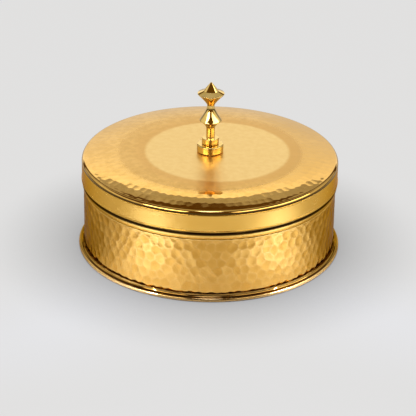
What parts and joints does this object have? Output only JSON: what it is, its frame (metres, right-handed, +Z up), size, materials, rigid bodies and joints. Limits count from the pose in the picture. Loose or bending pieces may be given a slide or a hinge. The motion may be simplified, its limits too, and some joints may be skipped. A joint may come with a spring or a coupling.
{
  "type": "roti box",
  "caption": "Round hammered brass box for flat breads, with a lift-off lid, a turned finial knob and a coved foot ring.",
  "frame": {"origin": "centre of the foot, on the surface that the box stands on", "axes": "+Z up through the knob; the box is round, so +X and +Y are free"},
  "size_m": [0.2226, 0.2226, 0.1468],
  "materials": {
    "hammered_brass": "hammered and polished, with shallow round dimples",
    "planished_brass": "finely hammered and polished to a soft mirror",
    "spun_brass": "polished, with fine lathe lines",
    "polished_brass": "mirror polished",
    "plated_steel": "zinc plated"
  },
  "bodies": {
    "box": {"body_wall": "hammered_brass", "mouth_wire": "plated_steel", "floor_plate": "spun_brass", "foot_ring": "spun_brass", "foot_wire": "plated_steel"},
    "lid": {"lid_top": "planished_brass", "lid_band": "spun_brass", "knob_base": "polished_brass", "knob_finial": "polished_brass", "knob_washer": "plated_steel", "knob_screw": "plated_steel"}
  },
  "joints": [
    {"name": "lid_lift", "type": "slide", "parent": "box", "child": "lid", "axis": [0, 0, 1], "range_m": [0, 0.12]}
  ]
}
